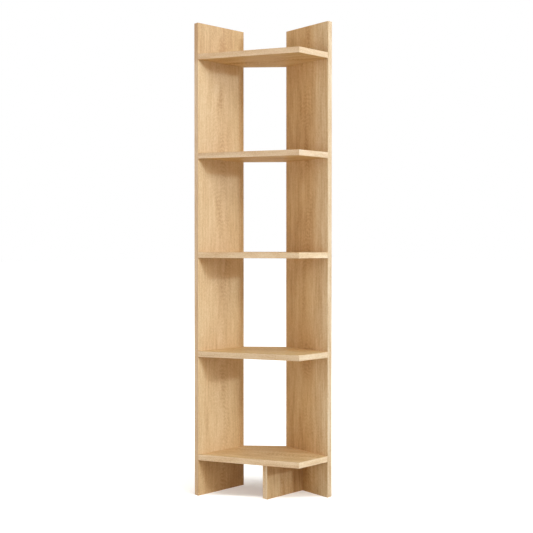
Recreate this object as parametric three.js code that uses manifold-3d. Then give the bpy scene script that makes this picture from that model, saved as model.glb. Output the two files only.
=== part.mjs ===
// A free-standing corner shelf unit: two side panels, five slant-fronted shelves and a foot board.
// Millimetres, +Z up, standing on z = 0, centred on the origin in plan.
// Plan distances are taken from the inner corner, where the side panels' inner faces would meet.
import * as THREE from 'three';
import { mergeVertices } from 'three/addons/utils/BufferGeometryUtils.js';
import Module from 'manifold-3d';

const wasm = await Module();
wasm.setup();

// Boards
const unitHeight = 1800;
const sideReach = 348;
const rearCut = 119;
const shortEdge = 150;
const boardThick = 22;
const footHeight = 136;
const topRise = 118;
// How the clear height between the bottom and top shelves is shared out, from the lowest bay up
const bayShares = [373, 355, 355, 353];
const footInset = 188.5;
const footReach = 187;
const footThick = 25;

// Connector screws and their caps
const screwInset = 40;
const screwLength = 50;
const headRadius = 5;
const headLength = 4.5;
const neckRadius = 3.5;
const coreRadius = 2.6;
const tipRadius = 1.2;
const tipLength = 5;
const socketRadius = 2.3;
const socketDepth = 3.4;
const capRadius = 6.5;
const capThick = 1.2;
const capRim = 0.5;
const stemRadius = 1.6;
const stemLength = 3;
const footScrewInset = 38;

// Dowels under the bottom shelf
const dowelRadius = 4;
const dowelRise = 12;
const dowelDrop = 18;
const dowelChamfer = 0.8;
const dowelRearInset = 50;
const dowelFrontInset = 47;

// Clearances and fineness
const sideClearance = 0.3;
const endClearance = 0.5;
const overshoot = 1;
const screwSides = 16;
const capSides = 20;
const dowelSides = 16;
const socketSides = 6;

// Derived places
const cornerX = -(sideReach - boardThick - capThick) / 2;
const cornerY = (sideReach - boardThick - capThick) / 2;
const panelWidth = sideReach - rearCut;
const shelfCount = bayShares.length + 1;
const clearHeight = unitHeight - topRise - footHeight - shelfCount * boardThick;
const shareSum = bayShares.reduce((sum, share) => sum + share, 0);
const shelfTops = bayShares.reduce(
  (tops, share) => [...tops, tops[tops.length - 1] + boardThick + clearHeight * share / shareSum],
  [footHeight + boardThick],
);
const footMiddle = footInset + footThick / 2;
const screwReaches = [rearCut + screwInset, sideReach - screwInset];
const footScrewHeights = [footScrewInset, footHeight - footScrewInset];
const dowelReaches = [dowelRearInset, footReach - dowelFrontInset];

const looks = {
  panel: { color: 0xd8b68a, roughness: 0.55, metalness: 0 },
  shelf: { color: 0xcfa97a, roughness: 0.5, metalness: 0 },
  foot: { color: 0xc9a375, roughness: 0.55, metalness: 0 },
  screw: { color: 0xb4b6b8, roughness: 0.35, metalness: 0.9 },
  cap: { color: 0xc8a272, roughness: 0.45, metalness: 0 },
  dowel: { color: 0xdcc296, roughness: 0.7, metalness: 0 },
};

function toSolid(geometry) {
  const plain = geometry.clone();
  plain.deleteAttribute('normal');
  plain.deleteAttribute('uv');
  const merged = mergeVertices(plain);
  const faces = [];
  const index = merged.index.array;
  for (let i = 0; i < index.length; i += 3) {
    const [a, b, c] = [index[i], index[i + 1], index[i + 2]];
    if (a !== b && b !== c && c !== a) {
      faces.push(a, b, c);
    }
  }
  return new wasm.Manifold(new wasm.Mesh({
    numProp: 3,
    vertProperties: merged.attributes.position.array,
    triVerts: new Uint32Array(faces),
  }));
}

function toGeometry(solid) {
  const shape = solid.getMesh();
  const geometry = new THREE.BufferGeometry();
  geometry.setAttribute('position', new THREE.BufferAttribute(shape.vertProperties, 3));
  geometry.setIndex(new THREE.BufferAttribute(shape.triVerts, 1));
  geometry.computeVertexNormals();
  return geometry;
}

function cutFrom(geometry, tools) {
  let solid = toSolid(geometry);
  for (const tool of tools) {
    solid = solid.subtract(toSolid(tool));
  }
  return toGeometry(solid);
}

// A turned solid along +X from x = 0, from pairs of distance along the axis and radius.
function turned(profile, sides) {
  const points = profile.map(([along, radius]) => new THREE.Vector2(radius, along));
  const geometry = new THREE.LatheGeometry(points, sides);
  geometry.rotateZ(-Math.PI / 2);
  return geometry;
}

function block(from, to) {
  const size = to.map((value, i) => value - from[i]);
  const middle = to.map((value, i) => (value + from[i]) / 2);
  const geometry = new THREE.BoxGeometry(...size);
  geometry.translate(...middle);
  return geometry;
}

// A screw place is a point on a side panel's outer face. Left screws point along +X, right ones along -Y.
function leftPlaces(heights) {
  return heights.flatMap((z) => screwReaches.map((reach) => ({ x: -boardThick, y: -reach, z, turn: 0 })));
}

function rightPlaces(heights) {
  return heights.flatMap((z) => screwReaches.map((reach) => (
    { x: reach, y: boardThick, z, turn: -Math.PI / 2 }
  )));
}

function footPlaces() {
  return footScrewHeights.map((z) => ({ x: footMiddle, y: boardThick, z, turn: -Math.PI / 2 }));
}

function put(geometry, place) {
  geometry.rotateZ(place.turn);
  geometry.translate(place.x, place.y, place.z);
  return geometry;
}

function screwHole(place) {
  const wideRadius = headRadius + sideClearance;
  const narrowRadius = neckRadius + sideClearance;
  const end = screwLength + endClearance;
  const hole = turned([
    [-overshoot, 0],
    [-overshoot, wideRadius],
    [headLength, wideRadius],
    [headLength, narrowRadius],
    [end, narrowRadius],
    [end, 0],
  ], screwSides);
  return put(hole, place);
}

function makeScrew(place) {
  const neckEnd = boardThick + endClearance;
  const shank = turned([
    [0, 0],
    [0, headRadius],
    [headLength, headRadius],
    [headLength, neckRadius],
    [neckEnd, neckRadius],
    [neckEnd, coreRadius],
    [screwLength - tipLength, coreRadius],
    [screwLength, tipRadius],
    [screwLength, 0],
  ], screwSides);
  const socket = turned([
    [-overshoot, 0],
    [-overshoot, socketRadius],
    [socketDepth, socketRadius],
    [socketDepth, 0],
  ], socketSides);
  return put(cutFrom(shank, [socket]), place);
}

function makeCap(place) {
  const cap = turned([
    [-capThick, 0],
    [-capThick, capRadius - capRim],
    [-capThick + capRim, capRadius],
    [0, capRadius],
    [0, stemRadius],
    [stemLength, stemRadius],
    [stemLength, 0],
  ], capSides);
  return put(cap, place);
}

function upright(geometry, reach, z) {
  geometry.rotateY(-Math.PI / 2);
  geometry.translate(footMiddle, -reach, z);
  return geometry;
}

function dowelHole(reach) {
  const radius = dowelRadius + sideClearance;
  const top = dowelDrop + dowelRise + endClearance;
  const hole = turned([[0, 0], [0, radius], [top, radius], [top, 0]], dowelSides);
  return upright(hole, reach, footHeight - dowelDrop);
}

function makeDowel(reach) {
  const length = dowelDrop + dowelRise;
  const dowel = turned([
    [0, 0],
    [0, dowelRadius - dowelChamfer],
    [dowelChamfer, dowelRadius],
    [length - dowelChamfer, dowelRadius],
    [length, dowelRadius - dowelChamfer],
    [length, 0],
  ], dowelSides);
  return upright(dowel, reach, footHeight - dowelDrop);
}

function shelfMiddles() {
  return shelfTops.map((top) => top - boardThick / 2);
}

function makeLeftPanel() {
  const board = block([-boardThick, -sideReach, 0], [0, -sideReach + panelWidth, unitHeight]);
  return cutFrom(board, leftPlaces(shelfMiddles()).map(screwHole));
}

function makeRightPanel() {
  const board = block([rearCut, 0, 0], [rearCut + panelWidth, boardThick, unitHeight]);
  const places = [...rightPlaces(shelfMiddles()), ...footPlaces()];
  return cutFrom(board, places.map(screwHole));
}

function shelfOutline() {
  const outline = new THREE.Shape();
  outline.moveTo(0, -sideReach);
  outline.lineTo(sideReach, -shortEdge);
  outline.lineTo(sideReach, 0);
  outline.lineTo(rearCut, 0);
  outline.lineTo(0, -rearCut);
  outline.closePath();
  return outline;
}

function makeShelf(top, number) {
  const board = new THREE.ExtrudeGeometry(shelfOutline(), { depth: boardThick, bevelEnabled: false });
  board.translate(0, 0, top - boardThick);
  const middle = [top - boardThick / 2];
  const holes = [...leftPlaces(middle), ...rightPlaces(middle)].map(screwHole);
  if (number === 1) {
    holes.push(...dowelReaches.map(dowelHole));
  }
  return cutFrom(board, holes);
}

function makeFootBoard() {
  const board = block([footInset, -footReach, 0], [footInset + footThick, 0, footHeight]);
  return cutFrom(board, [...footPlaces().map(screwHole), ...dowelReaches.map(dowelHole)]);
}

const group = new THREE.Group();
group.name = 'corner_shelf_unit';

function addPiece(name, geometry, look) {
  geometry.translate(cornerX, cornerY, 0);
  const piece = new THREE.Mesh(geometry, new THREE.MeshStandardMaterial(look));
  piece.name = name;
  group.add(piece);
}

function addFasteners(label, places) {
  places.forEach((place, i) => {
    addPiece(`${label}_screw_${i + 1}`, makeScrew(place), looks.screw);
    addPiece(`${label}_cap_${i + 1}`, makeCap(place), looks.cap);
  });
}

addPiece('left_panel', makeLeftPanel(), looks.panel);
addPiece('right_panel', makeRightPanel(), looks.panel);
addPiece('foot_board', makeFootBoard(), looks.foot);

shelfTops.forEach((top, i) => {
  const number = i + 1;
  const middle = [top - boardThick / 2];
  addPiece(`shelf_${number}`, makeShelf(top, number), looks.shelf);
  addFasteners(`shelf_${number}_left`, leftPlaces(middle));
  addFasteners(`shelf_${number}_right`, rightPlaces(middle));
});

addFasteners('foot', footPlaces());
dowelReaches.forEach((reach, i) => {
  addPiece(`foot_dowel_${i + 1}`, makeDowel(reach), looks.dowel);
});

export default group;
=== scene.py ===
# Corner shelf unit in light oak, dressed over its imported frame. Metres, +Z up.
import math
import bmesh
import bpy
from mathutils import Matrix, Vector


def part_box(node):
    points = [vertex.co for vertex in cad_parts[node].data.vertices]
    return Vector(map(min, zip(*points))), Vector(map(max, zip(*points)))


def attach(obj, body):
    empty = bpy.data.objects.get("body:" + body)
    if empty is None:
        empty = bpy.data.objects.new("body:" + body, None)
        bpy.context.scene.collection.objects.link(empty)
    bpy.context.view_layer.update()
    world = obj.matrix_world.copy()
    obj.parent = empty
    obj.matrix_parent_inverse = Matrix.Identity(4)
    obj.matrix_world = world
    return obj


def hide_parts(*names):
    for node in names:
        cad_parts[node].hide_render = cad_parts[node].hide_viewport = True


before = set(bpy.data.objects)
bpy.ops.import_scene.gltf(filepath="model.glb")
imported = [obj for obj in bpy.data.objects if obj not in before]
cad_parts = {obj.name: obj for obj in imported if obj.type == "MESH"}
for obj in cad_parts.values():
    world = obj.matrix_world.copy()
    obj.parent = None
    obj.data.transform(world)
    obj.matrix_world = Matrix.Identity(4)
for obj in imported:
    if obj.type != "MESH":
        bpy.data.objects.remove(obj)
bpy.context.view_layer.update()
print("frame loaded:", len(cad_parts), "nodes")

# Where the side panels' inner faces would meet, in plan
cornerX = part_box("left_panel")[1].x
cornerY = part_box("right_panel")[0].y
towardsCorner = Vector((-1, 1, 0))
upAxis = Vector((0, 0, 1))
shelfNames = [f"shelf_{i}" for i in range(1, 6)]
weldDistance = 0.00001


# Small helpers for node trees

def addNode(tree, kind, settings=None, **inputs):
    # An input goes by its label, with _ for each space, or by _ and its number
    node = tree.nodes.new(kind)
    for key, value in (settings or {}).items():
        setattr(node, key, value)
    for key, value in inputs.items():
        setInput(tree, node, int(key[1:]) if key[1:].isdigit() else key.replace("_", " "), value)
    return node


def setInput(tree, node, key, value):
    socket = node.inputs[key]
    if isinstance(value, bpy.types.NodeSocket):
        tree.links.new(value, socket)
    else:
        socket.default_value = value


def mathOf(tree, operation, first, second=0.5, third=0.0):
    node = addNode(tree, "ShaderNodeMath", {"operation": operation})
    for index, value in enumerate((first, second, third)):
        setInput(tree, node, index, value)
    return node.outputs[0]


def noiseOf(tree, place, scales, detail=2.0, roughness=0.5, offset=(0, 0, 0)):
    stretched = addNode(tree, "ShaderNodeMapping", {"vector_type": "POINT"},
                        Vector=place, Location=offset, Scale=scales)
    noise = addNode(tree, "ShaderNodeTexNoise", {"noise_dimensions": "3D"}, Vector=stretched.outputs[0],
                    Scale=1.0, Detail=detail, Roughness=roughness)
    return noise.outputs["Fac"]


def rampOf(tree, factor, stops, interpolation="LINEAR"):
    node = addNode(tree, "ShaderNodeValToRGB", None, Fac=factor)
    ramp = node.color_ramp
    ramp.interpolation = interpolation
    while len(ramp.elements) < len(stops):
        ramp.elements.new(0.5)
    for element, (position, colour) in zip(ramp.elements, stops):
        element.position = position
        element.color = (*colour, 1.0)
    return node.outputs["Color"]


def greyStops(*pairs):
    return [(position, (level, level, level)) for position, level in pairs]


def shareBetween(tree, value, start, end, interpolation="SMOOTHSTEP"):
    # 0 at start and 1 at end, whichever of them is the greater
    return addNode(tree, "ShaderNodeMapRange", {"interpolation_type": interpolation}, Value=value,
                   From_Min=start, From_Max=end).outputs[0]


def multiplied(tree, share, colour, factor):
    return addNode(tree, "ShaderNodeMix", {"data_type": "RGBA", "blend_type": "MULTIPLY"}, _0=share,
                   _6=colour, _7=(*factor, 1.0)).outputs[2]


def fromScreen(red, green, blue):
    def linear(value):
        share = value / 255
        return share / 12.92 if share <= 0.04045 else ((share + 0.055) / 1.055) ** 2.4
    return tuple(linear(value) for value in (red, green, blue))


def emptyMaterial(name):
    material = bpy.data.materials.new(name)
    material.use_nodes = True
    material.node_tree.nodes.clear()
    return material, material.node_tree


def setReliefSurface(tree, colour, rough, height, strength, depth, **others):
    bump = addNode(tree, "ShaderNodeBump", None, Strength=strength, Distance=depth, Height=height)
    shader = addNode(tree, "ShaderNodeBsdfPrincipled", None, Base_Color=colour, Roughness=rough,
                     Normal=bump.outputs[0], **others)
    addNode(tree, "ShaderNodeOutputMaterial", None, Surface=shader.outputs[0])


def putInScene(item):
    bpy.context.scene.collection.objects.link(item)


# Oak finish. The attribute grainPlace holds the place along the grain, across it and into the board,
# from the board's middle. The two ranges along it, where the painted shade fades in, lie within the thickness of
# the top and bottom shelf.

oakSizes = {
    "tint": (1.0, 1.0, 1.0),
    "paleTone": (227, 192, 140),
    "middleTone": (213, 172, 118),
    "deepTone": (190, 143, 88),
    "toneStops": (0.32, 0.54, 0.80),
    "meanTone": 0.47,
    "seedShift": 1.37,
    "heartAcross": 0.0,
    "heartDepth": 0.03,
    "heartWander": 0.022,
    "depthWander": 0.03,
    "ringWidth": 0.0108,
    "ringTaper": 0.02,
    "ringRipple": 0.7,
    "ringSwing": 1.2,
    "ringLeast": 0.25,
    "columnNarrow": 27.0,
    "columnFall": 1.2,
    "arcsPerMetre": 62.0,
    "arcWander": 2.4,
    "ringShare": 0.12,
    "figureShare": 0.20,
    "fibreShare": 0.34,
    "streakShare": 0.20,
    "fleckShare": 0.34,
    "broadShare": 0.34,
    "poreShare": 0.14,
    "topPaintedShade": 0.0,
    "topShadeRange": (0.761, 0.781),
    "lowPaintedShade": 0.0,
    "lowShadeRange": (-0.743, -0.763),
    "roughness": 0.56,
    "roughnessSwing": 0.2,
    "gloss": 0.35,
    "fibreRelief": 0.4,
    "poreRelief": 0.6,
    "bumpStrength": 0.35,
    "bumpDepth": 0.00025,
}

# Of each noise: scale along and across the grain, detail, roughness, offset, and the axis the seed moves it on
oakNoises = {
    "wander": (2.2, 9.0, 3.0, 0.55, (0.0, 3.1, 0.7), 0),
    "depth": (3.5, 14.0, 2.0, 0.5, (7.7, 0.3, 5.1), 0),
    "ripple": (14.0, 90.0, 2.0, 0.5, (1.3, 0.0, 2.9), 1),
    "ringLevel": (1.5, 60.0, 1.0, 0.5, (2.0, 8.0, 1.0), 0),
    "arcs": (26.0, 60.0, 2.0, 0.5, (3.3, 1.1, 2.2), 0),
    "patches": (7.0, 30.0, 1.0, 0.5, (6.1, 4.0, 9.0), 0),
    "fibre": (14.0, 270.0, 3.0, 0.62, (0.0, 0.0, 4.0), 0),
    "streak": (9.0, 70.0, 3.0, 0.5, (1.9, 2.0, 3.0), 0),
    "fleck": (190.0, 230.0, 1.0, 0.5, (5.2, 3.0, 7.0), 0),
    "broad": (4.0, 30.0, 2.0, 0.5, (4.4, 6.0, 0.0), 0),
    "pores": (38.0, 1500.0, 2.0, 0.6, (0.4, 0.0, 0.0), 1),
}
ringProfile = greyStops((0.0, 0.95), (0.14, 0.55), (0.5, 0.12), (0.86, 0.35), (1.0, 0.95))
patchStops = greyStops((0.42, 0.0), (0.62, 1.0))
poreStops = greyStops((0.56, 0.0), (0.68, 1.0))

# Strips on the narrow edges lie deeper than this, and broad faces less deep
stripLimit = 0.2


def oakFinish(name, seed, **changes):
    sizes = {**oakSizes, **changes}
    material, tree = emptyMaterial(name)
    grainPlace = addNode(tree, "ShaderNodeAttribute", {"attribute_name": "grainPlace"}).outputs["Vector"]
    place = addNode(tree, "ShaderNodeMapping", {"vector_type": "POINT"}, Vector=grainPlace,
                    Location=(seed * sizes["seedShift"], -sizes["heartAcross"], 0.0)).outputs[0]
    along, across, into = addNode(tree, "ShaderNodeSeparateXYZ", None, Vector=place).outputs

    def noise(layer):
        scaleAlong, scaleAcross, detail, roughness, offset, seedAxis = oakNoises[layer]
        moved = [part + (seed if axis == seedAxis else 0.0) for axis, part in enumerate(offset)]
        return noiseOf(tree, place, (scaleAlong, scaleAcross, scaleAcross), detail, roughness, moved)

    # The growth rings, seen as lines at the board's sides and as flames at its middle
    acrossWarped = mathOf(tree, "MULTIPLY_ADD", mathOf(tree, "SUBTRACT", noise("wander"), 0.5),
                          sizes["heartWander"], across)
    depth = mathOf(tree, "MULTIPLY_ADD", noise("depth"), sizes["depthWander"],
                   mathOf(tree, "ADD", into, sizes["heartDepth"]))
    radius = mathOf(tree, "SQRT", mathOf(tree, "ADD",
                                         mathOf(tree, "MULTIPLY", acrossWarped, acrossWarped),
                                         mathOf(tree, "MULTIPLY", depth, depth)))
    tapered = mathOf(tree, "MULTIPLY_ADD", along, sizes["ringTaper"], radius)
    ringCount = mathOf(tree, "MULTIPLY_ADD", tapered, 1.0 / sizes["ringWidth"],
                       mathOf(tree, "MULTIPLY", noise("ripple"), sizes["ringRipple"]))
    ring = rampOf(tree, mathOf(tree, "FRACT", ringCount), ringProfile, "EASE")
    # Some rings are strong and some faint
    ringLevel = mathOf(tree, "MULTIPLY_ADD", noise("ringLevel"), sizes["ringSwing"], sizes["ringLeast"])
    ringTone = mathOf(tree, "MULTIPLY", ring, ringLevel)

    # Tight arcs in a narrow, patchy column at the board's middle
    columnPlace = mathOf(tree, "MULTIPLY", acrossWarped, sizes["columnNarrow"])
    columnSquare = mathOf(tree, "MULTIPLY", columnPlace, columnPlace)
    arcCount = mathOf(tree, "ADD", mathOf(tree, "MULTIPLY_ADD", along, sizes["arcsPerMetre"], columnSquare),
                      mathOf(tree, "MULTIPLY", noise("arcs"), sizes["arcWander"]))
    arc = mathOf(tree, "MULTIPLY", mathOf(tree, "PINGPONG", arcCount, 0.5), 2.0)
    patchy = rampOf(tree, noise("patches"), patchStops)
    columnFall = mathOf(tree, "MULTIPLY", columnSquare, sizes["columnFall"])
    column = mathOf(tree, "DIVIDE", 1.0, mathOf(tree, "ADD", 1.0, columnFall))
    figure = mathOf(tree, "MULTIPLY", arc, mathOf(tree, "MULTIPLY", patchy, column))

    # The first four noises swing about a half, so that their shares leave the mean tone alone
    fibre = noise("fibre")
    pores = rampOf(tree, noise("pores"), poreStops)
    swings = ((fibre, "fibreShare"), (noise("streak"), "streakShare"), (noise("fleck"), "fleckShare"),
              (noise("broad"), "broadShare"))
    tone = mathOf(tree, "MULTIPLY_ADD", ringTone, sizes["ringShare"],
                  sizes["meanTone"] - 0.5 * sum(sizes[share] for _, share in swings))
    for part, share in (*swings, (figure, "figureShare"), (pores, "poreShare")):
        tone = mathOf(tree, "MULTIPLY_ADD", part, sizes[share], tone)

    # Painted shade: the inner face can be made darker above the top shelf and under the bottom one
    plainAlong, plainAcross, plainInto = addNode(tree, "ShaderNodeSeparateXYZ", None, Vector=grainPlace).outputs
    isInner = mathOf(tree, "GREATER_THAN", plainInto, 0.0)
    for share, ends in (("topPaintedShade", "topShadeRange"), ("lowPaintedShade", "lowShadeRange")):
        if sizes[share]:
            innerShadedEnd = mathOf(tree, "MULTIPLY", shareBetween(tree, plainAlong, *sizes[ends]), isInner)
            tone = mathOf(tree, "MULTIPLY_ADD", innerShadedEnd, sizes[share], tone)

    stops = [(stop, tuple(channel * part for channel, part in zip(fromScreen(*sizes[key]), sizes["tint"])))
             for stop, key in zip(sizes["toneStops"], ("paleTone", "middleTone", "deepTone"))]
    colour = rampOf(tree, tone, stops)
    if "frontPaintedLight" in sizes:
        # Painted light: the broad faces turn paler and less yellow towards the front, where more light falls on
        # them
        isFace = mathOf(tree, "LESS_THAN", mathOf(tree, "ABSOLUTE", plainInto), stripLimit)
        frontLitShare = shareBetween(tree, plainAcross, *sizes["frontLightRange"])
        colour = multiplied(tree, mathOf(tree, "MULTIPLY", frontLitShare, isFace), colour, sizes["frontPaintedLight"])
    # The strips that face the front have a tone of their own, most of them paler: partly the edges' own tone,
    # partly painted light where the lamps fall on them
    colour = multiplied(tree, mathOf(tree, "GREATER_THAN", into, stripLimit), colour, sizes["edgeLift"])

    rough = mathOf(tree, "MULTIPLY_ADD", tone, sizes["roughnessSwing"],
                   sizes["roughness"] - sizes["roughnessSwing"] / 2)
    height = mathOf(tree, "SUBTRACT", mathOf(tree, "MULTIPLY", fibre, sizes["fibreRelief"]),
                    mathOf(tree, "MULTIPLY", pores, sizes["poreRelief"]))
    setReliefSurface(tree, colour, rough, height, sizes["bumpStrength"], sizes["bumpDepth"],
                     Specular_IOR_Level=sizes["gloss"])
    return material


# Boards

boardSizes = {"easedEdge": 0.0009, "easeSteps": 3, "easeProfile": 0.5, "weldDistance": 0.000001}

# Directions are compared by cosine. stripStep sets one edge's strip apart from the next one's.
grainSizes = {
    "leastEdgeArea": 0.001,
    "squareWithin": 0.01,
    "sameFrom": 0.999,
    "facesCornerFrom": 0.5,
    "stripAcross": 0.11,
    "stripDepth": 0.4,
    "stripStep": 0.17,
}


def layGrain(mesh, faceAxis, grainAxis):
    # Broad faces run along grainAxis; each narrow edge carries its own strip with the grain along it.
    # Strips that face the corner lie below 0 and keep the faces' tone.
    centre = sum((vertex.co for vertex in mesh.vertices), Vector()) / len(mesh.vertices)
    acrossAxis = faceAxis.cross(grainAxis)
    edges = []
    for face in mesh.polygons:
        isEdge = abs(face.normal.dot(faceAxis)) < grainSizes["squareWithin"]
        if isEdge and face.area > grainSizes["leastEdgeArea"]:
            if all(face.normal.dot(known) < grainSizes["sameFrom"] for known in edges):
                edges.append(face.normal.copy())
    layer = mesh.attributes.new("grainPlace", "FLOAT_VECTOR", "CORNER")
    for face in mesh.polygons:
        best = max(range(len(edges)), key=lambda i: face.normal.dot(edges[i]))
        isBroad = abs(face.normal.dot(faceAxis)) >= face.normal.dot(edges[best])
        stripAxis = faceAxis.cross(edges[best])
        side = -1 if edges[best].dot(towardsCorner) > grainSizes["facesCornerFrom"] else 1
        stripDepth = side * (grainSizes["stripDepth"] + grainSizes["stripStep"] * best)
        for loopIndex in face.loop_indices:
            spot = mesh.vertices[mesh.loops[loopIndex].vertex_index].co - centre
            if isBroad:
                value = (spot.dot(grainAxis), spot.dot(acrossAxis), spot.dot(faceAxis))
            else:
                value = (spot.dot(stripAxis), spot.dot(faceAxis) + grainSizes["stripAcross"], stripDepth)
            layer.data[loopIndex].vector = value


def easeEdges(mesh):
    work = bmesh.new()
    work.from_mesh(mesh)
    bmesh.ops.remove_doubles(work, verts=work.verts, dist=boardSizes["weldDistance"])
    bmesh.ops.recalc_face_normals(work, faces=work.faces)
    bmesh.ops.bevel(work, geom=list(work.edges), offset=boardSizes["easedEdge"],
                    segments=boardSizes["easeSteps"], profile=boardSizes["easeProfile"],
                    affect="EDGES", clamp_overlap=True)
    bmesh.ops.recalc_face_normals(work, faces=work.faces)
    work.to_mesh(mesh)
    work.free()


def finishBoard(name, mesh, node, faceAxis, grainAxis, material):
    easeEdges(mesh)
    layGrain(mesh, faceAxis, grainAxis.normalized())
    mesh.materials.clear()
    mesh.materials.append(material)
    board = bpy.data.objects.new(name, mesh)
    putInScene(board)
    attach(board, "root")
    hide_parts(node)


def straightBoardMesh(name, node):
    low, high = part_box(node)
    work = bmesh.new()
    corners = [work.verts.new((x, y, z)) for z in (low.z, high.z)
               for x, y in ((low.x, low.y), (high.x, low.y), (high.x, high.y), (low.x, high.y))]
    work.faces.new(corners[3::-1])
    work.faces.new(corners[4:])
    for i in range(4):
        j = (i + 1) % 4
        work.faces.new((corners[i], corners[j], corners[j + 4], corners[i + 4]))
    mesh = bpy.data.meshes.new(name)
    work.to_mesh(mesh)
    work.free()
    return mesh


# Ranges across a panel run from the place where the paler tone of painted light starts to where it is full

leftPanelSizes = {
    "seed": 1.0,
    "fibreShare": 0.29,
    "gloss": 0.5,
    # Painted shade on the inner face above the top shelf and under the bottom one
    "topPaintedShade": 0.1,
    "lowPaintedShade": 0.15,
    # Edge tone: partly the edges' own paler tone, partly painted light
    "edgeLift": (0.96, 1.02, 1.26),
    # Painted light, paler towards the front
    "frontPaintedLight": (1.01, 1.02, 1.09),
    "frontLightRange": (-0.08, 0.0),
}
rightPanelSizes = {
    "seed": 5.0,
    "streakShare": 0.42,
    "broadShare": 0.46,
    "gloss": 0.25,
    "tint": (0.97, 0.96, 0.94),
    "edgeLift": (1.14, 1.28, 1.74),
    "frontPaintedLight": (1.09, 1.23, 1.53),
    "frontLightRange": (0.0, -0.1),
}
footSizes = {
    "seed": 9.0,
    "ringShare": 0.2,
    "streakShare": 0.60,
    "broadShare": 0.60,
    "tint": (0.86, 0.81, 0.80),
    "edgeLift": (1.66, 2.25, 3.50),
}
straightBoards = (
    ("left_panel_board", "left_panel", Vector((1, 0, 0)), "oakLeftPanel", leftPanelSizes, "side_boards"),
    ("right_panel_board", "right_panel", Vector((0, -1, 0)), "oakRightPanel", rightPanelSizes, "side_boards"),
    ("foot_board_eased", "foot_board", Vector((1, 0, 0)), "oakFoot", footSizes, "foot_board"),
)
for name, node, faceAxis, finishName, changes, slotName in straightBoards:
    finishBoard(name, straightBoardMesh(name, node), node, faceAxis, upAxis,
                oakFinish(finishName, **changes))
print("side panels and foot board made")


# Shelves: one outline, moved up by a node tree. The tones run from the bottom shelf up.

shelfSizes = {
    "sideReach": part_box("shelf_1")[1].x - cornerX,
    "rearCut": 0.119,
    "shortEdge": 0.150,
    "thickness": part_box("shelf_1")[1].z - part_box("shelf_1")[0].z,
    "firstSeed": 12.0,
    "seedStep": 3.1,
    "heartStep": 0.02,
    "streakShare": 0.34,
    "broadShare": 0.44,
    "gloss": 0.05,
    "faceTones": ((1.06, 1.11, 1.20), (1.05, 1.09, 1.11), (1.00, 1.00, 1.00), (0.96, 0.93, 0.86),
                  (0.99, 0.98, 0.96)),
    # Edge tones: partly the edges' own paler tone, partly painted light
    "edgeLifts": ((1.23, 1.34, 1.72), (1.18, 1.31, 1.81), (1.26, 1.43, 1.97), (1.24, 1.44, 2.20),
                  (1.20, 1.34, 1.88)),
}


def groupInput(tree, name, kind, value=None):
    socket = tree.interface.new_socket(name=name, in_out="INPUT", socket_type=kind)
    if value is not None:
        socket.default_value = value
    return socket.identifier


def geometryTree(name, floats):
    tree = bpy.data.node_groups.new(name, "GeometryNodeTree")
    tree.interface.new_socket(name="Geometry", in_out="INPUT", socket_type="NodeSocketGeometry")
    tree.interface.new_socket(name="Geometry", in_out="OUTPUT", socket_type="NodeSocketGeometry")
    keys = {label: groupInput(tree, label, "NodeSocketFloat", value) for label, value in floats.items()}
    keys["Finish"] = groupInput(tree, "Finish", "NodeSocketMaterial")
    return tree, keys, tree.nodes.new("NodeGroupInput").outputs


def endTree(tree, geometry, finish):
    real = addNode(tree, "GeometryNodeRealizeInstances", None, Geometry=geometry)
    finished = addNode(tree, "GeometryNodeSetMaterial", None, Geometry=real.outputs[0], Material=finish)
    addNode(tree, "NodeGroupOutput", None, _0=finished.outputs[0])


def weldedOf(tree, *meshes):
    joined = addNode(tree, "GeometryNodeJoinGeometry")
    for mesh in meshes:
        tree.links.new(mesh, joined.inputs[0])
    return addNode(tree, "GeometryNodeMergeByDistance", None, Geometry=joined.outputs[0],
                   Distance=weldDistance).outputs[0]


def pointOf(tree, x, y, z):
    return addNode(tree, "ShaderNodeCombineXYZ", None, _0=x, _1=y, _2=z).outputs[0]


def shelfTree():
    tree, keys, given = geometryTree("shelfOutlineRaised", {
        "Side Reach": shelfSizes["sideReach"], "Rear Cut": shelfSizes["rearCut"],
        "Short Edge": shelfSizes["shortEdge"], "Thickness": shelfSizes["thickness"],
        "Shelf Top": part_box("shelf_1")[1].z, "Corner X": cornerX, "Corner Y": cornerY,
    })
    reach, cut, short = given["Side Reach"], given["Rear Cut"], given["Short Edge"]
    bottom = mathOf(tree, "SUBTRACT", given["Shelf Top"], given["Thickness"])
    farX = mathOf(tree, "ADD", given["Corner X"], reach)
    outline = [
        (given["Corner X"], mathOf(tree, "SUBTRACT", given["Corner Y"], reach)),
        (farX, mathOf(tree, "SUBTRACT", given["Corner Y"], short)),
        (farX, given["Corner Y"]),
        (mathOf(tree, "ADD", given["Corner X"], cut), given["Corner Y"]),
        (given["Corner X"], mathOf(tree, "SUBTRACT", given["Corner Y"], cut)),
    ]
    circle = addNode(tree, "GeometryNodeMeshCircle", {"fill_type": "NGON"}, Vertices=len(outline))
    switch = addNode(tree, "GeometryNodeIndexSwitch", {"data_type": "VECTOR"})
    while len(switch.index_switch_items) < len(outline):
        switch.index_switch_items.new()
    setInput(tree, switch, 0, addNode(tree, "GeometryNodeInputIndex").outputs[0])
    for index, (x, y) in enumerate(outline):
        setInput(tree, switch, index + 1, pointOf(tree, x, y, bottom))
    placed = addNode(tree, "GeometryNodeSetPosition", None, Geometry=circle.outputs[0],
                     Position=switch.outputs[0])
    lift = addNode(tree, "GeometryNodeExtrudeMesh", {"mode": "FACES"}, Mesh=placed.outputs[0],
                   Offset=pointOf(tree, 0.0, 0.0, 1.0), Offset_Scale=given["Thickness"], Individual=False)
    under = addNode(tree, "GeometryNodeFlipFaces", None, Mesh=placed.outputs[0])
    endTree(tree, weldedOf(tree, lift.outputs[0], under.outputs[0]), given["Finish"])
    return tree, keys


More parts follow.
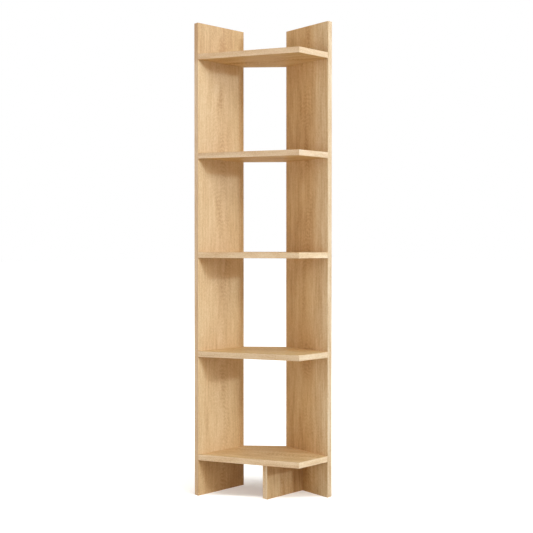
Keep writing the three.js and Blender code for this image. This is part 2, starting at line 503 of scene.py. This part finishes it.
def runTree(name, baseMesh, tree, keys, values):
    source = bpy.data.objects.new(name + "_source", baseMesh)
    putInScene(source)
    modifier = source.modifiers.new("shape", "NODES")
    modifier.node_group = tree
    for label, value in values.items():
        modifier[keys[label]] = value
    bpy.context.view_layer.update()
    graph = bpy.context.evaluated_depsgraph_get()
    mesh = bpy.data.meshes.new_from_object(source.evaluated_get(graph), depsgraph=graph)
    mesh.name = name
    bpy.data.objects.remove(source)
    bpy.data.meshes.remove(baseMesh)
    return mesh


def makeShelves():
    tree, keys = shelfTree()
    frontEdgeAxis = Vector((shelfSizes["sideReach"], shelfSizes["sideReach"] - shelfSizes["shortEdge"], 0))
    shares = {key: shelfSizes[key] for key in ("streakShare", "broadShare", "gloss")}
    for number, node in enumerate(shelfNames):
        finish = oakFinish(f"oakShelf{number + 1}", shelfSizes["firstSeed"] + shelfSizes["seedStep"] * number,
                           heartAcross=shelfSizes["heartStep"] * (number % 3 - 1),
                           tint=shelfSizes["faceTones"][number], edgeLift=shelfSizes["edgeLifts"][number],
                           **shares)
        mesh = runTree(node + "_board", bpy.data.meshes.new("empty_base"), tree, keys,
                       {"Shelf Top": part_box(node)[1].z, "Finish": finish})
        finishBoard(node + "_board", mesh, node, upAxis, frontEdgeAxis, finish)


makeShelves()
print("shelves made")


# Finish of the caps, screws and dowels

mottleSizes = {
    "cloudStops": (0.3, 0.7),
    "cloudDetail": 3.0,
    "cloudRoughness": 0.55,
    "fineFactor": 12,
    "roughnessSwing": 0.15,
    "roughnessBelow": 0.07,
    "bumpDepth": 0.0001,
}


def mottledFinish(name, base, dark, roughness, metallic=0.0, scales=(60, 60, 60), bump=0.1):
    material, tree = emptyMaterial(name)
    place = addNode(tree, "ShaderNodeTexCoord").outputs["Object"]
    cloud = noiseOf(tree, place, scales, mottleSizes["cloudDetail"], mottleSizes["cloudRoughness"])
    fine = noiseOf(tree, place, tuple(scale * mottleSizes["fineFactor"] for scale in scales))
    darkStop, baseStop = mottleSizes["cloudStops"]
    colour = rampOf(tree, cloud, [(darkStop, fromScreen(*dark)), (baseStop, fromScreen(*base))])
    rough = mathOf(tree, "MULTIPLY_ADD", fine, mottleSizes["roughnessSwing"],
                   roughness - mottleSizes["roughnessBelow"])
    setReliefSurface(tree, colour, rough, fine, bump, mottleSizes["bumpDepth"], Metallic=metallic)
    return material


# Cover caps over the screw heads, on the outer faces. The rises are shares of the thickness.

capSizes = {
    "radius": 0.0065,
    "thickness": 0.0012,
    "wallRise": 0.5,
    "rimRise": 0.3,
    "crownRise": 0.2,
    "rimShare": 0.92,
    "crownShare": 0.7,
    "stemRadius": 0.0016,
    "stemLength": 0.003,
    "sides": 40,
    "tone": (206, 168, 116),
    "darkTone": (195, 154, 103),
    "roughness": 0.45,
}


def raiseAndScale(tree, mesh, top, height, share):
    # Lifts the face picked by top along its normal and scales it there
    lift = addNode(tree, "GeometryNodeExtrudeMesh", {"mode": "FACES"}, Mesh=mesh, Offset_Scale=height,
                   Individual=False)
    if top is not None:
        setInput(tree, lift, "Selection", top)
    scaled = addNode(tree, "GeometryNodeScaleElements", {"domain": "FACE"}, Geometry=lift.outputs[0],
                     Selection=lift.outputs["Top"], Scale=share)
    return scaled.outputs[0], lift.outputs["Top"]


def capTree():
    tree, keys, given = geometryTree("coverCapsOnPoints", {
        "Cap Radius": capSizes["radius"], "Cap Thickness": capSizes["thickness"],
        "Rim Share": capSizes["rimShare"], "Crown Share": capSizes["crownShare"],
        "Stem Radius": capSizes["stemRadius"], "Stem Length": capSizes["stemLength"],
    })
    circle = addNode(tree, "GeometryNodeMeshCircle", {"fill_type": "NGON"}, Vertices=capSizes["sides"],
                     Radius=given["Cap Radius"])
    crown, top = circle.outputs[0], None
    for rise, share in (("wallRise", 1.0), ("rimRise", given["Rim Share"]), ("crownRise", given["Crown Share"])):
        height = mathOf(tree, "MULTIPLY", given["Cap Thickness"], capSizes[rise])
        crown, top = raiseAndScale(tree, crown, top, height, share)
    under = addNode(tree, "GeometryNodeFlipFaces", None, Mesh=circle.outputs[0])
    stemShare = mathOf(tree, "DIVIDE", given["Stem Radius"], given["Cap Radius"])
    stem, stemTop = raiseAndScale(tree, under.outputs[0], None, 0.0, stemShare)
    stem, _ = raiseAndScale(tree, stem, stemTop, given["Stem Length"], 1.0)
    facing = addNode(tree, "GeometryNodeInputNamedAttribute", {"data_type": "FLOAT_VECTOR"}, Name="facing")
    turn = addNode(tree, "FunctionNodeAlignRotationToVector", {"axis": "Z"}, Vector=facing.outputs[0])
    caps = addNode(tree, "GeometryNodeInstanceOnPoints", None, Points=given["Geometry"],
                   Instance=weldedOf(tree, crown, stem), Rotation=turn.outputs[0])
    endTree(tree, caps.outputs[0], given["Finish"])
    return tree, keys


def capPlaces():
    places = []
    for node in sorted(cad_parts):
        if "_cap_" in node:
            low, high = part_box(node)
            middle = (low + high) / 2
            if high.x <= cornerX and high.x - low.x < high.y - low.y:
                places.append((node, Vector((low.x + capSizes["thickness"], middle.y, middle.z)), (-1, 0, 0)))
            else:
                places.append((node, Vector((middle.x, high.y - capSizes["thickness"], middle.z)), (0, 1, 0)))
    return places


def makeCaps():
    places = capPlaces()
    base = bpy.data.meshes.new("cap_points")
    base.from_pydata([spot for _, spot, _ in places], [], [])
    layer = base.attributes.new("facing", "FLOAT_VECTOR", "POINT")
    for index, (_, _, facing) in enumerate(places):
        layer.data[index].vector = facing
    finish = mottledFinish("oakTonePlastic", capSizes["tone"], capSizes["darkTone"], capSizes["roughness"])
    tree, keys = capTree()
    caps = bpy.data.objects.new("cover_caps", runTree("cover_caps", base, tree, keys, {"Finish": finish}))
    putInScene(caps)
    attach(caps, "root")
    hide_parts(*[node for node, _, _ in places])
    return len(places)


print("cover caps made:", makeCaps())


# The screws and dowels keep their solids and get their finishes

fastenerSizes = {
    "_screw_": {"name": "zincPlatedSteel", "base": (196, 198, 200), "dark": (172, 174, 178),
                "roughness": 0.34, "metallic": 1.0, "scales": (90, 90, 90), "bump": 0.15},
    "_dowel_": {"name": "plainBeech", "base": (222, 196, 152), "dark": (206, 176, 130),
                "roughness": 0.7, "scales": (400, 400, 30), "bump": 0.2},
}
for part, sizes in fastenerSizes.items():
    finish = mottledFinish(**sizes)
    for node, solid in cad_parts.items():
        if part in node:
            solid.data.materials.clear()
            solid.data.materials.append(finish)
print("fasteners finished")


# Floor, lamps, world and camera

studioSizes = {
    "floorReach": 40.0,
    "floorTone": (0.72, 0.67, 0.58),
    # The glow under the unit is a painted shadow; the lamps cast a real one on the matt floor as well
    "glowInPaintedShadow": (0.366, 0.349, 0.344),
    "glowNear": (0.71, 0.71, 0.71),
    "glowFrom": 0.14,
    "glowFull": 0.36,
    "glowFar": 2.5,
    "shadowFade": 0.045,
    "worldTone": (1.0, 0.75, 0.45),
    "worldStrength": 0.08,
    "aimHeight": 0.9,
    "lampDistance": 7.0,
}

# Degrees round from +X towards +Y, degrees up from the middle of the unit, and how wide each lamp looks
lampSizes = {
    "low_key": {"turn": 23, "rise": 12, "spread": 4, "strength": 1.34, "tone": (0.62, 0.81, 1)},
    "low_wide": {"turn": 33, "rise": 11, "spread": 22, "strength": 0.36, "tone": (0.5, 0.7, 1)},
    "side_soft": {"turn": 0, "rise": 36, "spread": 30, "strength": 1.46, "tone": (0.86, 0.94, 1)},
    "left_soft": {"turn": -130, "rise": 12, "spread": 30, "strength": 1.02, "tone": (0.93, 0.96, 1)},
    "front_soft": {"turn": -42, "rise": 25, "spread": 30, "strength": 0.46, "tone": (1, 0.93, 0.82)},
    "low_front": {"turn": -100, "rise": -2, "spread": 14, "strength": 0.38, "tone": (0.91, 0.92, 1)},
    "left_back": {"turn": 190, "rise": 5, "spread": 24, "strength": 0.62, "tone": (1, 0.98, 0.95)},
    "right_back": {"turn": 80, "rise": 5, "spread": 24, "strength": 0.62, "tone": (1, 0.95, 0.88)},
    "overhead": {"turn": 0, "rise": 85, "spread": 50, "strength": 1.28, "tone": (0.7, 0.82, 1)},
}

# The lens and the shift are in pixels of the photo; the place is measured from the unit's corner
cameraSizes = {
    "place": (2.657, -2.3919, 0.9628),
    "turn": 47.975,
    "pitchDown": 0.813,
    "lensPixels": 879.25,
    "shiftPixels": 10.5,
    "photoPixels": 533,
    "sensorWidth": 36,
    "clipEnd": 200,
}


def seenShare(tree):
    # 1 for rays from the camera, and for those that reach it by way of a glossy or clear surface
    path = addNode(tree, "ShaderNodeLightPath")
    byWay = mathOf(tree, "MAXIMUM", path.outputs["Is Glossy Ray"], path.outputs["Is Transmission Ray"])
    return mathOf(tree, "MAXIMUM", path.outputs["Is Camera Ray"], byWay)


def beyondLine(tree, spot, first, second):
    # 0 well inside the line from first to second, 1 beyond it
    run = (second - first).normalized()
    outward = Vector((run.y, -run.x, 0))
    reached = addNode(tree, "ShaderNodeVectorMath", {"operation": "DOT_PRODUCT"}, _0=spot, _1=outward)
    edge = first.dot(outward)
    return shareBetween(tree, reached.outputs["Value"], edge - studioSizes["shadowFade"], edge)


def makeFloor():
    reach = studioSizes["floorReach"]
    mesh = bpy.data.meshes.new("studio_floor")
    mesh.from_pydata([(-reach, -reach, 0), (reach, -reach, 0), (reach, reach, 0), (-reach, reach, 0)], [],
                     [(0, 1, 2, 3)])
    material, tree = emptyMaterial("paleFloor")
    matt = addNode(tree, "ShaderNodeBsdfDiffuse", None, Color=(*studioSizes["floorTone"], 1))
    # The floor's glow holds a painted shadow under the unit, on top of the real shadow on the matt floor, and
    # turns plain white away from the unit
    spot = addNode(tree, "ShaderNodeTexCoord").outputs["Object"]
    away = addNode(tree, "ShaderNodeVectorMath", {"operation": "LENGTH"}, _0=spot).outputs["Value"]
    share = shareBetween(tree, away, studioSizes["glowFrom"], studioSizes["glowFull"], "LINEAR")
    # In front, the painted shadow stays behind the ends of the two panels and the foot
    footLow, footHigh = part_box("foot_board")
    leftEnd = Vector((cornerX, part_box("left_panel")[0].y, 0))
    rightEnd = Vector((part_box("right_panel")[1].x, cornerY, 0))
    leftOfFoot = beyondLine(tree, spot, leftEnd, Vector((footLow.x, footLow.y, 0)))
    rightOfFoot = beyondLine(tree, spot, Vector((footHigh.x, footLow.y, 0)), rightEnd)
    share = mathOf(tree, "MAXIMUM", share, mathOf(tree, "MAXIMUM", leftOfFoot, rightOfFoot))
    paintedShadowTones = rampOf(tree, share, [(0.0, studioSizes["glowInPaintedShadow"]), (1.0, studioSizes["glowNear"])], "EASE")
    far = shareBetween(tree, away, studioSizes["glowFull"], studioSizes["glowFar"], "LINEAR")
    whitened = addNode(tree, "ShaderNodeMix", {"data_type": "RGBA"}, _0=far, _6=paintedShadowTones, _7=(1, 1, 1, 1))
    glow = addNode(tree, "ShaderNodeEmission", None, Color=whitened.outputs[2], Strength=seenShare(tree))
    both = addNode(tree, "ShaderNodeAddShader", None, _0=matt.outputs[0], _1=glow.outputs[0])
    addNode(tree, "ShaderNodeOutputMaterial", None, Surface=both.outputs[0])
    mesh.materials.append(material)
    floor = bpy.data.objects.new("studio_floor", mesh)
    putInScene(floor)


def makeLamp(name, facts):
    distance = studioSizes["lampDistance"]
    turn, rise, spread = (math.radians(facts[key]) for key in ("turn", "rise", "spread"))
    towards = Vector((math.cos(turn) * math.cos(rise), math.sin(turn) * math.cos(rise), math.sin(rise)))
    lamp = bpy.data.lights.new(name, "AREA")
    lamp.shape = "DISK"
    lamp.size = 2 * distance * math.tan(spread / 2)
    lamp.energy = facts["strength"] * math.pi * distance ** 2
    lamp.color = facts["tone"]
    holder = bpy.data.objects.new(name, lamp)
    holder.location = Vector((0, 0, studioSizes["aimHeight"])) + towards * distance
    holder.rotation_mode = "QUATERNION"
    holder.rotation_quaternion = (-towards).to_track_quat("-Z", "Y")
    holder.visible_camera = False
    putInScene(holder)


def makeWorld():
    world = bpy.data.worlds.new("studioWorld")
    bpy.context.scene.world = world
    world.use_nodes = True
    tree = world.node_tree
    tree.nodes.clear()
    ambient = addNode(tree, "ShaderNodeBackground", None, Color=(*studioSizes["worldTone"], 1),
                      Strength=studioSizes["worldStrength"])
    backdrop = addNode(tree, "ShaderNodeBackground", None, Color=(1, 1, 1, 1), Strength=1.0)
    mix = addNode(tree, "ShaderNodeMixShader", None, _0=seenShare(tree), _1=ambient.outputs[0],
                  _2=backdrop.outputs[0])
    addNode(tree, "ShaderNodeOutputWorld", None, Surface=mix.outputs[0])


def makeCamera():
    camera = bpy.data.cameras.new("photo_camera")
    camera.sensor_width = cameraSizes["sensorWidth"]
    camera.lens = cameraSizes["sensorWidth"] * cameraSizes["lensPixels"] / cameraSizes["photoPixels"]
    camera.shift_y = -cameraSizes["shiftPixels"] / cameraSizes["photoPixels"]
    camera.clip_end = cameraSizes["clipEnd"]
    holder = bpy.data.objects.new("photo_camera", camera)
    x, y, z = cameraSizes["place"]
    holder.location = (cornerX + x, cornerY + y, z)
    pitch, turn = math.radians(90 - cameraSizes["pitchDown"]), math.radians(cameraSizes["turn"])
    holder.rotation_euler = (pitch, 0, turn)
    putInScene(holder)
    bpy.context.scene.camera = holder


makeFloor()
for lampName, lampFacts in lampSizes.items():
    makeLamp(lampName, lampFacts)
makeWorld()
makeCamera()
bpy.context.scene.view_settings.view_transform = "Standard"
print("floor, lamps and camera set")

bpy.context.view_layer.update()
